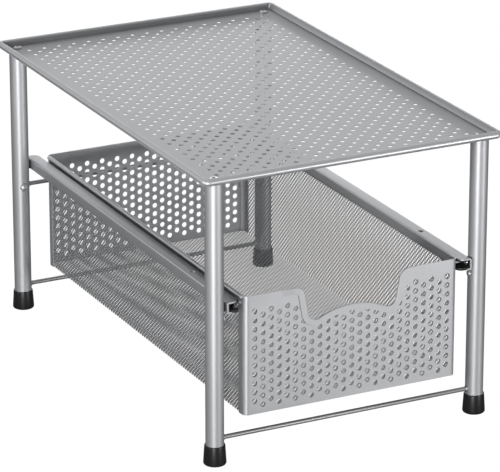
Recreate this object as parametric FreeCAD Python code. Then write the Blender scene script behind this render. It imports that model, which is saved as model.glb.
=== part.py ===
"""Two-level under sink organizer: a perforated shelf on four tube legs, and a pull-out drawer in side rails.

Millimetres. X is the width, Y the depth with the front at -Y, Z is up. The origin is on the floor, in the
middle between the four feet. The drawer is modelled closed.
"""
import math
import os

import FreeCAD
import Part

V = FreeCAD.Vector

# Legs and feet
LEG_SPAN_X = 254.0
LEG_SPAN_Y = 410.0
LEG_D = 16.0
LEG_WALL = 1.2
FOOT_FLOOR = 3.0
FOOT_GRIP = 15.0
FOOT_WALL = 1.0
FOOT_FLARE = 1.0
FOOT_FIT = 0.05

# Shelf: one sheet with its edge rolled up into a round bead
SHELF_OVER_DRAWER = 105.1
SHELF_T = 1.0
SHELF_OVERHANG_X = 16.0
SHELF_OVERHANG_Y = 14.5
BEAD_D = 6.0
BEAD_CORNER = 3.0

# Cross rods, welded between the legs: two low ones, and one at the rear that stops the closing drawer
ROD_D = 4.0
ROD_OVER_FEET = 3.0
HIGH_ROD_DROP = 27.9

# Side rails: C-channels that open towards the drawer
RAIL_H = 10.2
RAIL_W = 11.0
RAIL_T = 1.2
RAIL_PAST_LEG = 6.5
RAIL_CORNER_R = 6.0
STOP_BEHIND_LEG = 73.0
STOP_D = 5.0
STOP_RUNNER_GAP = 0.6

# Saddles between leg and rail
SADDLE_T = 1.0
SADDLE_LENGTH = 7.0
SADDLE_INSET = 1.2
SADDLE_FIT = 0.05

# Plastic liners in the front ends of the rails, each with a foot in a notch of the lower flange
LINER_LENGTH = 30.0
LINER_T = 1.0
LINER_SETBACK = 0.3
LINER_MOUTH = 13.0
LINER_LIP = 2.0
NOTCH_LENGTH = 8.0
NOTCH_OUT_GAP = 4.5
RUNNER_PLAY = 0.3

# Drawer
DRAWER_OVER_ROD = 17.0
DRAWER_H = 108.4
DRAWER_RAIL_GAP = 3.9
DRAWER_BACK_GAP = 4.5
PANEL_T = 1.0
PANEL_BEND_R = 5.0
PANEL_RETURN = 10.4

# Mesh of the drawer's sides and bottom: a plain grid of openings stands for its finer weave
MESH_T = 0.6
MESH_BAR = 12.0
MESH_COUNT_Y = 8
MESH_COUNT_X = 4
MESH_COUNT_Z = 2

# Runner strips: an upright strip along each side with a flange that runs in the rail
STRIP_T = 1.0
STRIP_H = 8.6
RUNNER_EDGE_GAP = 2.6
RUNNER_END_GAP = 0.3

# Plastic slides on the rear ends of the runners
SLIDE_LENGTH = 22.0
SLIDE_PLAY = 0.3
SLIDE_SIDE_GAP = 2.0

# Round perforation of the drawer's front, in staggered columns of many-sided holes
HOLE_D = 5.0
HOLE_COLUMN = 7.75
HOLE_PITCH = 8.2
HOLE_SIDE_MARGIN = 10.0
HOLE_TOP_MARGIN = 14.6
HOLE_FOOT_MARGIN = 6.9
HOLE_SCOOP_MARGIN = 6.5
HOLE_SIDES = 6

# Finger scoop in the front's top edge: rounded ears, sloping flanks, two dips and a hump between them
SCOOP_DIP_X = 35.0
SCOOP_DIP_R = 8.0
SCOOP_DIP_DEPTH = 32.0
SCOOP_HUMP_RISE = 8.3
SCOOP_FLANK_RUN = 20.0
SCOOP_EAR_R = 9.0

# Heights worked out from the sizes above, from the floor up
FOOT_H = FOOT_FLOOR + FOOT_GRIP
ROD_LOW_Z = FOOT_H + ROD_OVER_FEET + ROD_D / 2
DRAWER_Z = ROD_LOW_Z + ROD_D / 2 + DRAWER_OVER_ROD
DRAWER_TOP_Z = DRAWER_Z + DRAWER_H
RUNNER_Z0 = DRAWER_TOP_Z - STRIP_H
RUNNER_Z1 = RUNNER_Z0 + STRIP_T
RAIL_Z = (RUNNER_Z0 + RUNNER_Z1 - RAIL_H) / 2
RAIL_TOP_Z = RAIL_Z + RAIL_H
CHANNEL_Z0 = RAIL_Z + RAIL_T
CHANNEL_Z1 = RAIL_TOP_Z - RAIL_T
ROD_HIGH_Z = DRAWER_TOP_Z - HIGH_ROD_DROP
SHELF_Z = DRAWER_TOP_Z + SHELF_OVER_DRAWER

# Widths and depths, from the legs inwards and outwards
LEG_R = LEG_D / 2
LEG_X = LEG_SPAN_X / 2
LEG_Y = LEG_SPAN_Y / 2
BEAD_R = BEAD_D / 2
BEAD_X = LEG_X + SHELF_OVERHANG_X - BEAD_R
BEAD_Y = LEG_Y + SHELF_OVERHANG_Y - BEAD_R
RAIL_OUT_X = LEG_X - LEG_R - SADDLE_T
RAIL_WEB_X = RAIL_OUT_X - RAIL_T
RAIL_IN_X = RAIL_OUT_X - RAIL_W
RAIL_END_Y = LEG_Y + RAIL_PAST_LEG
STOP_Y = STOP_BEHIND_LEG - LEG_Y
LINER_WEB_X = RAIL_WEB_X - LINER_T
LINER_LIP_X = RAIL_IN_X - LINER_LIP
NOTCH_X1 = RAIL_OUT_X - NOTCH_OUT_GAP
NOTCH_Y1 = NOTCH_LENGTH - RAIL_END_Y
LINER_Y0 = LINER_SETBACK - RAIL_END_Y
LINER_Y1 = LINER_Y0 + LINER_LENGTH
RUNNER_X = RAIL_WEB_X - RUNNER_EDGE_GAP
DRAWER_X = RAIL_IN_X - DRAWER_RAIL_GAP
SIDE_X = DRAWER_X - PANEL_T
FRONT_Y = -LEG_Y - LEG_R
BACK_Y = LEG_Y - ROD_D / 2 - DRAWER_BACK_GAP
SIDE_Y0 = FRONT_Y + PANEL_BEND_R
SIDE_Y1 = BACK_Y - PANEL_BEND_R
RUNNER_Y0 = FRONT_Y + PANEL_RETURN + RUNNER_END_GAP
RUNNER_Y1 = BACK_Y - PANEL_RETURN - RUNNER_END_GAP
CORNERS = {
    "front_left": (-1, -1),
    "front_right": (1, -1),
    "rear_left": (-1, 1),
    "rear_right": (1, 1),
}


def box(x0, x1, y0, y1, z0, z1):
    return Part.makeBox(x1 - x0, y1 - y0, z1 - z0, V(x0, y0, z0))


def cylinder(radius, start, end):
    axis = end - start
    return Part.makeCylinder(radius, axis.Length, start, axis)


def turned(points, place):
    """A body of revolution round an upright axis, from (radius, height) points above place."""
    wire = Part.makePolygon([V(r, 0, h) for r, h in points] + [V(points[0][0], 0, points[0][1])])
    solid = Part.Face(wire).revolve(V(0, 0, 0), V(0, 0, 1), 360)
    solid.translate(place)
    return solid


def mirrored(shape):
    return shape.mirror(V(0, 0, 0), V(1, 0, 0))


def fused(first, *others):
    return first.fuse(list(others)).removeSplitter()


def save(name, *solids):
    shape = solids[0] if len(solids) == 1 else Part.makeCompound(list(solids))
    for solid in shape.Solids:
        if not solid.isValid():
            raise ValueError(name + " has an invalid solid")
    shape.exportStep("parts/" + name + ".step")


def plan_outline(x0, x1, y0, y1, radii):
    """A wire round a rectangle in plan; radii are for the corners x0y0, x1y0, x1y1, x0y1."""
    corners = [V(x0, y0, 0), V(x1, y0, 0), V(x1, y1, 0), V(x0, y1, 0)]
    edges = []
    last = None
    for i in range(5):
        here = corners[i % 4]
        radius = radii[i % 4]
        before = (corners[(i - 1) % 4] - here).normalize()
        after = (corners[(i + 1) % 4] - here).normalize()
        start = here + before * radius
        if last is not None:
            edges.append(Part.LineSegment(last, start).toShape())
        last = here + after * radius
        if radius and i < 4:
            middle = here + (before + after) * (radius * (1 - math.sqrt(0.5)))
            edges.append(Part.Arc(start, middle, last).toShape())
    return Part.Wire(Part.__sortEdges__(edges))


def plan_block(x0, x1, y0, y1, z0, z1, radii):
    face = Part.Face(plan_outline(x0, x1, y0, y1, radii))
    face.translate(V(0, 0, z0))
    return face.extrude(V(0, 0, z1 - z0))


def shelf_tray():
    """The sheet with a closed round bead along its edge, mitred across the cut corners."""
    z = SHELF_Z + BEAD_R
    cut_x = BEAD_X - BEAD_CORNER
    cut_y = BEAD_Y - BEAD_CORNER
    path = [
        V(BEAD_X, -cut_y, z), V(BEAD_X, cut_y, z), V(cut_x, BEAD_Y, z), V(-cut_x, BEAD_Y, z),
        V(-BEAD_X, cut_y, z), V(-BEAD_X, -cut_y, z), V(-cut_x, -BEAD_Y, z), V(cut_x, -BEAD_Y, z),
    ]
    outline = Part.makePolygon(path + path[:1])
    sweep = Part.BRepOffsetAPI.MakePipeShell(outline)
    sweep.setTransitionMode(1)
    sweep.add(Part.Wire(Part.makeCircle(BEAD_R, path[0], path[1] - path[0])))
    sweep.build()
    sweep.makeSolid()
    sheet = Part.Face(outline).extrude(V(0, 0, SHELF_T))
    sheet.translate(V(0, 0, -BEAD_R))
    return fused(sheet, sweep.shape())


def leg(sx, sy):
    low = V(sx * LEG_X, sy * LEG_Y, FOOT_FLOOR)
    high = V(sx * LEG_X, sy * LEG_Y, SHELF_Z)
    return cylinder(LEG_R, low, high).cut(cylinder(LEG_R - LEG_WALL, low, high))


def foot(sx, sy):
    """A rubber cap, a little wider at the floor."""
    bore_r = LEG_R + FOOT_FIT
    top_r = bore_r + FOOT_WALL
    points = [
        (0, 0), (top_r + FOOT_FLARE, 0), (top_r, FOOT_H),
        (bore_r, FOOT_H), (bore_r, FOOT_FLOOR), (0, FOOT_FLOOR),
    ]
    return turned(points, V(sx * LEG_X, sy * LEG_Y, 0))


def cross_rod(sy, z):
    reach = LEG_X - LEG_R
    return cylinder(ROD_D / 2, V(-reach, sy * LEG_Y, z), V(reach, sy * LEG_Y, z))


def rail():
    """The right rail: a C-channel, its flanges rounded at both ends, with a drawer stop under the top."""
    corners = [RAIL_CORNER_R, 0, 0, RAIL_CORNER_R]
    blank = plan_block(RAIL_IN_X, RAIL_OUT_X, -RAIL_END_Y, RAIL_END_Y, RAIL_Z, RAIL_TOP_Z, corners)
    channel = box(RAIL_IN_X, RAIL_WEB_X, -RAIL_END_Y, RAIL_END_Y, CHANNEL_Z0, CHANNEL_Z1)
    notch = box(RAIL_IN_X, NOTCH_X1, -RAIL_END_Y, NOTCH_Y1, RAIL_Z, CHANNEL_Z0)
    shape = blank.cut([channel, notch])
    x = (RAIL_IN_X + RAIL_WEB_X) / 2
    stop_low = RUNNER_Z1 + STOP_RUNNER_GAP
    boss = cylinder(STOP_D / 2, V(x, STOP_Y, stop_low), V(x, STOP_Y, CHANNEL_Z1))
    return fused(shape, boss)


def saddle(sx, sy):
    """Flat against the rail and hollow against the round leg."""
    y = sy * LEG_Y
    half = SADDLE_LENGTH / 2
    z0 = RAIL_Z + SADDLE_INSET
    z1 = RAIL_TOP_Z - SADDLE_INSET
    block = box(RAIL_OUT_X, LEG_X, y - half, y + half, z0, z1)
    leg_axis = V(LEG_X, y, 0)
    block = block.cut(cylinder(LEG_R + SADDLE_FIT, leg_axis, leg_axis + V(0, 0, SHELF_Z)))
    return block if sx > 0 else mirrored(block)


def rail_liner():
    """The right liner: an open mouth, a block with the runner's slot, a foot and a lip at the lower flange."""
    corners = [RAIL_CORNER_R, 0, 0, 0]
    body = plan_block(LINER_LIP_X, RAIL_WEB_X, LINER_Y0, LINER_Y1, CHANNEL_Z0, CHANNEL_Z1, corners)
    foot_block = plan_block(LINER_LIP_X, NOTCH_X1, LINER_Y0, NOTCH_Y1, RAIL_Z, CHANNEL_Z0, corners)
    lip = box(LINER_LIP_X, RAIL_IN_X, LINER_Y0 + RAIL_CORNER_R, LINER_Y1, RAIL_Z, CHANNEL_Z0)
    mouth_y1 = LINER_Y0 + LINER_MOUTH
    mouth = box(LINER_LIP_X, LINER_WEB_X, LINER_Y0, mouth_y1, CHANNEL_Z0 + LINER_T, CHANNEL_Z1 - LINER_T)
    slot_x1 = RUNNER_X + RUNNER_PLAY
    slot = box(LINER_LIP_X, slot_x1, mouth_y1, LINER_Y1, RUNNER_Z0 - RUNNER_PLAY, RUNNER_Z1 + RUNNER_PLAY)
    return fused(body, foot_block, lip).cut([mouth, slot])


def scoop_wire():
    """The finger scoop's outline in the plane of the drawer's front, closed above its top edge."""
    dip = (-SCOOP_DIP_X, SCOOP_DIP_R - SCOOP_DIP_DEPTH)
    ear = (dip[0] - SCOOP_FLANK_RUN, -SCOOP_EAR_R)
    hump_r = (SCOOP_DIP_X ** 2 + SCOOP_HUMP_RISE ** 2) / (2 * SCOOP_HUMP_RISE) - SCOOP_DIP_R
    hump = (0, SCOOP_HUMP_RISE - SCOOP_DIP_DEPTH - hump_r)

    # The straight flank touches the ear's circle from its right and the dip's circle from its left.
    across = math.atan2(dip[1] - ear[1], dip[0] - ear[0])
    apart = math.hypot(dip[0] - ear[0], dip[1] - ear[1])
    flank = across + math.acos((SCOOP_EAR_R + SCOOP_DIP_R) / apart)
    meet = math.atan2(dip[1] - hump[1], dip[0] - hump[0])

    def on(centre, radius, angle, side):
        x = centre[0] + radius * math.cos(angle)
        return V(side * x, FRONT_Y, DRAWER_TOP_Z + centre[1] + radius * math.sin(angle))

    def half(side):
        ear_arc = Part.Arc(
            on(ear, SCOOP_EAR_R, math.pi / 2, side),
            on(ear, SCOOP_EAR_R, (math.pi / 2 + flank) / 2, side),
            on(ear, SCOOP_EAR_R, flank, side))
        line = Part.LineSegment(
            on(ear, SCOOP_EAR_R, flank, side), on(dip, SCOOP_DIP_R, flank + math.pi, side))
        turn_end = meet + math.pi
        dip_arc = Part.Arc(
            on(dip, SCOOP_DIP_R, flank + math.pi, side),
            on(dip, SCOOP_DIP_R, (flank + math.pi + turn_end) / 2, side),
            on(dip, SCOOP_DIP_R, turn_end, side))
        return [ear_arc.toShape(), line.toShape(), dip_arc.toShape()]

    crown = Part.Arc(
        on(hump, hump_r, meet, 1), on(hump, hump_r, math.pi / 2, 1), on(hump, hump_r, meet, -1))
    left_top = V(ear[0], FRONT_Y, DRAWER_TOP_Z)
    right_top = V(-ear[0], FRONT_Y, DRAWER_TOP_Z)
    lift = V(0, 0, SCOOP_EAR_R)
    lid = Part.makePolygon([left_top, left_top + lift, right_top + lift, right_top])
    return Part.Wire(Part.__sortEdges__(half(1) + half(-1) + [crown.toShape()] + lid.Edges))


def hole_wires(scoop):
    """The front's holes in staggered columns, without those too near the finger scoop."""
    columns = int((2 * (DRAWER_X - HOLE_SIDE_MARGIN)) / HOLE_COLUMN) + 1
    drop = DRAWER_H - HOLE_TOP_MARGIN - HOLE_FOOT_MARGIN - HOLE_PITCH / 2
    rows = int(drop / HOLE_PITCH) + 1
    step = 2 * math.pi / HOLE_SIDES
    corner_r = HOLE_D / 2 * math.sqrt(step / math.sin(step))
    wires = []
    for column in range(columns):
        x = (column - (columns - 1) / 2) * HOLE_COLUMN
        shift = HOLE_PITCH / 2 * (column % 2)
        for row in range(rows):
            centre = V(x, FRONT_Y, DRAWER_TOP_Z - HOLE_TOP_MARGIN - shift - row * HOLE_PITCH)
            if Part.Vertex(centre).distToShape(scoop)[0] < HOLE_SCOOP_MARGIN:
                continue
            ring = [
                centre + V(corner_r * math.sin(i * step), 0, corner_r * math.cos(i * step))
                for i in range(HOLE_SIDES + 1)
            ]
            wires.append(Part.makePolygon(ring))
    return wires


def wall_outline(y):
    """The flat of a drawer wall, between its two bends."""
    half = DRAWER_X - PANEL_BEND_R
    corners = [
        V(-half, y, DRAWER_Z), V(half, y, DRAWER_Z), V(half, y, DRAWER_TOP_Z), V(-half, y, DRAWER_TOP_Z),
    ]
    return Part.makePolygon(corners + corners[:1])


def panel_wall(sign, face_y, outline, holes):
    """A sheet wall with both side edges bent round; sign is the way from its outer face to the inside."""
    depth = V(0, sign * PANEL_T, 0)
    flat = Part.makeFace([outline] + holes, "Part::FaceMakerBullseye").extrude(depth)
    bend_y = face_y + sign * PANEL_BEND_R
    end_y = face_y + sign * PANEL_RETURN
    edges = []
    for side in (-1, 1):
        axis = V(side * (DRAWER_X - PANEL_BEND_R), bend_y, DRAWER_Z)
        quarter = cylinder(PANEL_BEND_R, axis, axis + V(0, 0, DRAWER_H))
        quarter = quarter.cut(cylinder(PANEL_BEND_R - PANEL_T, axis, axis + V(0, 0, DRAWER_H)))
        x0, x1 = sorted((axis.x, side * DRAWER_X))
        y0, y1 = sorted((face_y, bend_y))
        edges.append(quarter.common(box(x0, x1, y0, y1, DRAWER_Z, DRAWER_TOP_Z)))
        x0, x1 = sorted((side * DRAWER_X, side * SIDE_X))
        y0, y1 = sorted((bend_y, end_y))
        edges.append(box(x0, x1, y0, y1, DRAWER_Z, DRAWER_TOP_Z))
    return fused(flat, *edges)


def drawer_front():
    scoop = Part.Face(scoop_wire())
    outline = Part.Face(wall_outline(FRONT_Y)).cut(scoop).Faces[0].OuterWire
    return panel_wall(1, FRONT_Y, outline, hole_wires(scoop))


def drawer_back():
    """Its round holes, like the shelf's, are finer than this model."""
    return panel_wall(-1, BACK_Y, wall_outline(BACK_Y), [])


def mesh_openings(low, high, count):
    """Where the openings lie along one side of a mesh panel, between equal bars."""
    size = (high - low - (count + 1) * MESH_BAR) / count
    starts = [low + MESH_BAR + i * (size + MESH_BAR) for i in range(count)]
    return [(start, start + size) for start in starts]


def mesh_bottom():
    radii = [PANEL_BEND_R - PANEL_T] * 4
    y0 = FRONT_Y + PANEL_T
    y1 = BACK_Y - PANEL_T
    z0 = DRAWER_Z
    z1 = DRAWER_Z + MESH_T
    panel = plan_block(-SIDE_X, SIDE_X, y0, y1, z0, z1, radii)
    cuts = [
        box(xa, xb, ya, yb, z0, z1)
        for xa, xb in mesh_openings(-SIDE_X, SIDE_X, MESH_COUNT_X)
        for ya, yb in mesh_openings(y0, y1, MESH_COUNT_Y)
    ]
    return panel.cut(cuts)


def mesh_side():
    x0 = SIDE_X - MESH_T
    z0 = DRAWER_Z + MESH_T
    panel = box(x0, SIDE_X, SIDE_Y0, SIDE_Y1, z0, RUNNER_Z0)
    cuts = [
        box(x0, SIDE_X, ya, yb, za, zb)
        for ya, yb in mesh_openings(SIDE_Y0, SIDE_Y1, MESH_COUNT_Y)
        for za, zb in mesh_openings(z0, RUNNER_Z0, MESH_COUNT_Z)
    ]
    return panel.cut(cuts)


def runner_strip():
    upright = box(SIDE_X - STRIP_T, SIDE_X, SIDE_Y0, SIDE_Y1, RUNNER_Z0, DRAWER_TOP_Z)
    flange = box(SIDE_X - STRIP_T, RUNNER_X, RUNNER_Y0, RUNNER_Y1, RUNNER_Z0, RUNNER_Z1)
    return fused(upright, flange)


def runner_slide():
    """Clipped over the rear end of the runner flange, and filling the rail."""
    x0 = DRAWER_X + SLIDE_SIDE_GAP
    x1 = RAIL_WEB_X - SLIDE_PLAY
    y0 = RUNNER_Y1 - SLIDE_LENGTH
    block = box(x0, x1, y0, RUNNER_Y1, CHANNEL_Z0 + SLIDE_PLAY, CHANNEL_Z1 - SLIDE_PLAY)
    return block.cut(box(x0, RUNNER_X, y0, RUNNER_Y1, RUNNER_Z0, RUNNER_Z1))


def main():
    os.makedirs("parts", exist_ok=True)
    save("shelf_tray", shelf_tray())
    for name, (sx, sy) in CORNERS.items():
        save("leg_" + name, leg(sx, sy))
        save("rail_saddle_" + name, saddle(sx, sy))
    save("feet", *[foot(sx, sy) for sx, sy in CORNERS.values()])
    save("front_low_rod", cross_rod(-1, ROD_LOW_Z))
    save("rear_low_rod", cross_rod(1, ROD_LOW_Z))
    save("rear_high_rod", cross_rod(1, ROD_HIGH_Z))
    pairs = {
        "rail": rail(),
        "rail_liner": rail_liner(),
        "drawer_mesh_side": mesh_side(),
        "drawer_runner_strip": runner_strip(),
        "drawer_runner_slide": runner_slide(),
    }
    for name, shape in pairs.items():
        save(name + "_right", shape)
        save(name + "_left", mirrored(shape))
    save("drawer_front", drawer_front())
    save("drawer_back", drawer_back())
    save("drawer_mesh_bottom", mesh_bottom())


main()
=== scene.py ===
"""Under sink organizer: the visible pieces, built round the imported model.

Metres. X is the width, Y the depth with the front at -Y, Z is up, and the floor is at 0.
"""
import math

import bmesh
import bpy
from mathutils import Matrix, Vector
from mathutils.geometry import delaunay_2d_cdt


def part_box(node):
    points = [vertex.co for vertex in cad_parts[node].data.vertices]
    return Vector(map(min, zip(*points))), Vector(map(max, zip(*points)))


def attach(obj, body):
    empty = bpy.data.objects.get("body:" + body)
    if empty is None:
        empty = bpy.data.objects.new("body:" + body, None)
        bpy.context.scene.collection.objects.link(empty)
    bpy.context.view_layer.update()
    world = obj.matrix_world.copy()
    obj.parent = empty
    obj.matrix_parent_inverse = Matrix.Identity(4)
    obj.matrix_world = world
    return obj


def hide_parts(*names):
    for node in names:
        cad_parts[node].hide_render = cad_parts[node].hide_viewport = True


bl_info = {
    "name": "Under sink organizer",
    "version": (1, 0, 0),
    "blender": (4, 5, 0),
    "location": "3D View > Sidebar > Organizer",
    "description": "Builds a two-level under sink organizer with a pull-out drawer",
    "category": "Object",
}

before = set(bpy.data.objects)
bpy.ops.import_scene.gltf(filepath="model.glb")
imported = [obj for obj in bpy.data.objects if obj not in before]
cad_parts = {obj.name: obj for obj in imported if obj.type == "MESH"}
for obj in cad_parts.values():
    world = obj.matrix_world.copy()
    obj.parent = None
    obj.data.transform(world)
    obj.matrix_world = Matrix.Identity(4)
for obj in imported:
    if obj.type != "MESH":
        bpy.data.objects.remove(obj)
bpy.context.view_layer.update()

MM = 0.001
MERGE = 0.001 * MM
QUARTER = math.pi / 2
SIDES = {"left": -1, "right": 1}
CORNERS = {
    "front_left": (-1, -1),
    "front_right": (1, -1),
    "rear_left": (-1, 1),
    "rear_right": (1, 1),
}
SIDE_PLACES = {"left": Matrix.Scale(-1, 4, (1, 0, 0)), "right": Matrix.Identity(4)}
SMOOTH_ANGLE = math.radians(32)

# Facets round holes, turned bodies and strands, and steps along bends
SHELF_HOLE_SIDES = 12
WALL_HOLE_SIDES = 20
LEG_SIDES = 56
FOOT_SIDES = 48
ROD_SIDES = 28
STOP_SIDES = 24
ROLL_SIDES = 20
HEAD_SIDES = 28
RIVET_SIDES = 20
STRAND_SIDES = 12
BEND_STEPS = 6
CORNER_STEPS = 8
BEAD_STEPS = 10
LIP_STEPS = 4
EAR_STEPS = 10
DIP_STEPS = 12
HEM_FADE_STEPS = 6

# The rim's section: shares of its radius, and angles from straight outwards
RIM_SOFT = 0.65
RIM_LEAN = ((-0.75, -0.87), (-1.0, -0.66), (-0.4, 0.72))
RIM_LEAN_TOP = 0.63 * math.pi
GROOVE_R = 0.45
GROOVE_FLOOR = (-0.10 * math.pi, -0.235 * math.pi)
GROOVE_EDGES = (-0.07 * math.pi, -0.265 * math.pi)

# A weld: how far it stands off the rod, and how far it is from the weld's end, in millimetres
WELD = ((0.0, 2.2), (0.25, 1.6), (0.8, 1.0), (0.9, 0.0))

# A rivet's head: radius and height, in millimetres
RIVET = ((2.6, 0.0), (2.4, 0.35), (1.6, 0.75), (0.0, 0.9))

# A pressed stop's inside and outside: shares of its radius, and millimetres below the flange's top
STOP_SKINS = (
    ((1.0, 0.1), (0.86, 0.7), (0.55, 1.5), (0.0, 1.7)),
    ((1.0, 0.1), (1.0, 2.9), (0.8, 4.0), (0.0, 4.0)),
)

# Thin walls and edges
COLLAR_T = 0.35 * MM
STOP_COLLAR = 0.15 * MM
TUBE_WALL = 1.2 * MM
HEM_EDGE = 0.15 * MM
HEM_LEAST = 0.02 * MM
HEM_OVERLAP = 0.05 * MM

# Tone and strength of the flecks of each silver finish; the lower tones of the rods and the mesh are
# painted shade
SILVER_TONES = {
    "frame_silver": (1.0, 0.10),
    "drawer_silver": (1.0, 0.10),
    "rod_silver_painted_shade": (0.6, 0.10),
    "mesh_silver": (0.72, 0.12),
}

# Lamps: place, width, height and power
LAMPS = {
    "strip_light": ((-1.49, -2.13, 0.13), 0.35, 0.22, 40.0),
    "front_softbox": ((2.0, -3.45, 0.1), 1.1, 0.3, 68.0),
    "side_softbox": ((-2.37, -0.42, 0.6), 0.9, 0.25, 15.0),
    "rear_softbox": ((1.15, 2.3, 0.5), 1.0, 0.4, 11.0),
}
LAMP_TARGET = Vector((0, 0, 0.12))

# Floor and room: size, brightness, and the shares of it that the camera and reflections see
FLOOR_HALF = 4.0
FLOOR_GLOW = 1.1
FLOOR_SHOWN = 0.93
FLOOR_MIRRORED = 0.08
ROOM_LIGHT = 0.03
ROOM_MIRRORED = 0.6
REAR_MIRRORED = 0.36
WHITE = (1.0, 1.0, 1.0, 1.0)

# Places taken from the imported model
SHELF_LOW, SHELF_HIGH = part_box("shelf_tray")
LEG_LOW, LEG_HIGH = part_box("leg_front_right")
LEG_X = (LEG_LOW.x + LEG_HIGH.x) / 2
LEG_Y = -(LEG_LOW.y + LEG_HIGH.y) / 2
LEG_R = (LEG_HIGH.x - LEG_LOW.x) / 2
FEET_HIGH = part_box("feet")[1]
RAIL_LOW, RAIL_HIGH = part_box("rail_right")
LINER_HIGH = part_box("rail_liner_right")[1]
FRONT_LOW, FRONT_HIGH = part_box("drawer_front")
BACK_LOW, BACK_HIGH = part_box("drawer_back")
STRIP_LOW, STRIP_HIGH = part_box("drawer_runner_strip_right")
SIDE_LOW, SIDE_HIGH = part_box("drawer_mesh_side_right")
BOTTOM_LOW, BOTTOM_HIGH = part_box("drawer_mesh_bottom")


def length(label, text, size):
    """A length property, its default given in metres."""
    return bpy.props.FloatProperty(
        name=label, description=text, default=size, min=0.0, unit="LENGTH", precision=5)


def colour(label, text, rgb):
    return bpy.props.FloatVectorProperty(
        name=label, description=text, default=rgb, min=0.0, max=1.0, size=3, subtype="COLOR")


def share(label, text, value):
    return bpy.props.FloatProperty(
        name=label, description=text, default=value, min=0.0, max=1.0, subtype="FACTOR")


class ShelfSizes(bpy.types.PropertyGroup):
    """Sizes of the perforated shelf."""

    sheet: length("Sheet", "Thickness of the shelf's sheet", 0.5 * MM)
    hole_d: length("Hole", "Diameter of the shelf's small holes", 4.2 * MM)
    column_step: length("Column step", "Distance between columns of holes", 7.48 * MM)
    row_step: length("Row step", "Distance between holes along a column", 15.0 * MM)
    rim_wall: length("Rim wall", "Height of the rim's flat inner face", 3.6 * MM)
    corner_r: length("Corner", "Radius of the rim's corners, on its middle line", 4.2 * MM)


class DrawerSizes(bpy.types.PropertyGroup):
    """Sizes of the drawer's walls and mesh."""

    sheet: length("Sheet", "Thickness of the front and back", 1.0 * MM)
    bend_r: length("Bend", "Outer radius of the bent side edges", 5.0 * MM)
    hole_d: length("Hole", "Diameter of the round holes", 5.0 * MM)
    collar: length("Collar", "How far the edge of a hole in the front is drawn inwards", 1.4 * MM)
    column_step: length("Column step", "Distance between columns of holes", 7.75 * MM)
    row_step: length("Row step", "Distance between holes along a column", 8.2 * MM)
    top_margin: length("Top margin", "From the top edge to the first hole's middle", 14.6 * MM)
    hem_w: length("Hem width", "Width of the folded band round the finger scoop", 5.6 * MM)
    hem_t: length("Hem thickness", "How far the folded band stands off the front", 1.0 * MM)
    strand_w: length("Strand", "Width of a strand of the mesh", 1.15 * MM)
    strand_t: length("Strand thickness", "Thickness of a strand of the mesh", 0.48 * MM)
    strand_gap: length("Strand step", "Distance between strands of the mesh", 3.14 * MM)


class ScoopSizes(bpy.types.PropertyGroup):
    """The finger scoop's outline: rounded ears, sloping flanks, two dips and a hump."""

    dip_x: length("Dip", "From the middle to the lowest point of a dip", 35.0 * MM)
    dip_r: length("Dip radius", "Radius of a dip", 8.0 * MM)
    dip_depth: length("Dip depth", "Depth of a dip below the top edge", 32.0 * MM)
    hump_rise: length("Hump", "How far the hump rises above the dips", 8.3 * MM)
    flank_run: length("Flank", "Sideways distance from an ear's middle to a dip's", 20.0 * MM)
    ear_r: length("Ear radius", "Radius of the rounded ears", 9.0 * MM)


class RailSizes(bpy.types.PropertyGroup):
    """Sizes of the rails, runners, rods, feet and fasteners."""

    rail_t: length("Rail sheet", "Thickness of the rails", 1.2 * MM)
    rail_bend_r: length("Rail bend", "Outer radius of the rails' bends", 1.5 * MM)
    rail_corner_r: length("Rail corner", "Radius of the flanges' corners", 6.0 * MM)
    notch_l: length("Notch", "Length of the notch at the front of a rail's lower flange", 8.0 * MM)
    notch_gap: length("Notch gap", "From the notch to the rail's outer face", 4.5 * MM)
    strip_t: length("Runner sheet", "Thickness of the runner strips", 1.0 * MM)
    strip_roll_r: length("Runner roll", "Radius of the rolled top edge of the runner strips", 1.4 * MM)
    strip_bend_r: length("Runner bend", "Inner radius of the runner strips' bend", 0.5 * MM)
    plastic_edge: length("Plastic edge", "Rounding of the plastic parts' edges", 0.3 * MM)
    foot_edge: length("Foot edge", "Rounding of the feet's base", 1.8 * MM)
    screw_d: length("Screw head", "Diameter of the screws' heads", 7.8 * MM)
    screw_h: length("Screw height", "Height of the screws' heads", 2.3 * MM)


class Finishes(bpy.types.PropertyGroup):
    """Colours and sheen of the finishes."""

    silver: colour("Silver coat", "Colour of the silver powder coat", (0.57, 0.576, 0.592))
    silver_rough: share("Coat roughness", "Roughness of the silver powder coat", 0.45)
    silver_metal: share("Coat metal", "How metallic the silver powder coat is", 0.8)
    silver_edge: share("Coat edge", "How much the coat reflects at a glancing angle", 0.42)
    zinc: colour("Zinc", "Colour of the zinc-plated fasteners", (0.62, 0.62, 0.61))
    rubber: colour("Rubber", "Colour of the rubber feet", (0.008, 0.008, 0.009))
    plastic: colour("Plastic", "Colour of the black plastic parts", (0.012, 0.012, 0.013))
    floor: colour("Floor", "Colour of the floor", (0.25, 0.25, 0.25))


# Gathering points and faces

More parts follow.
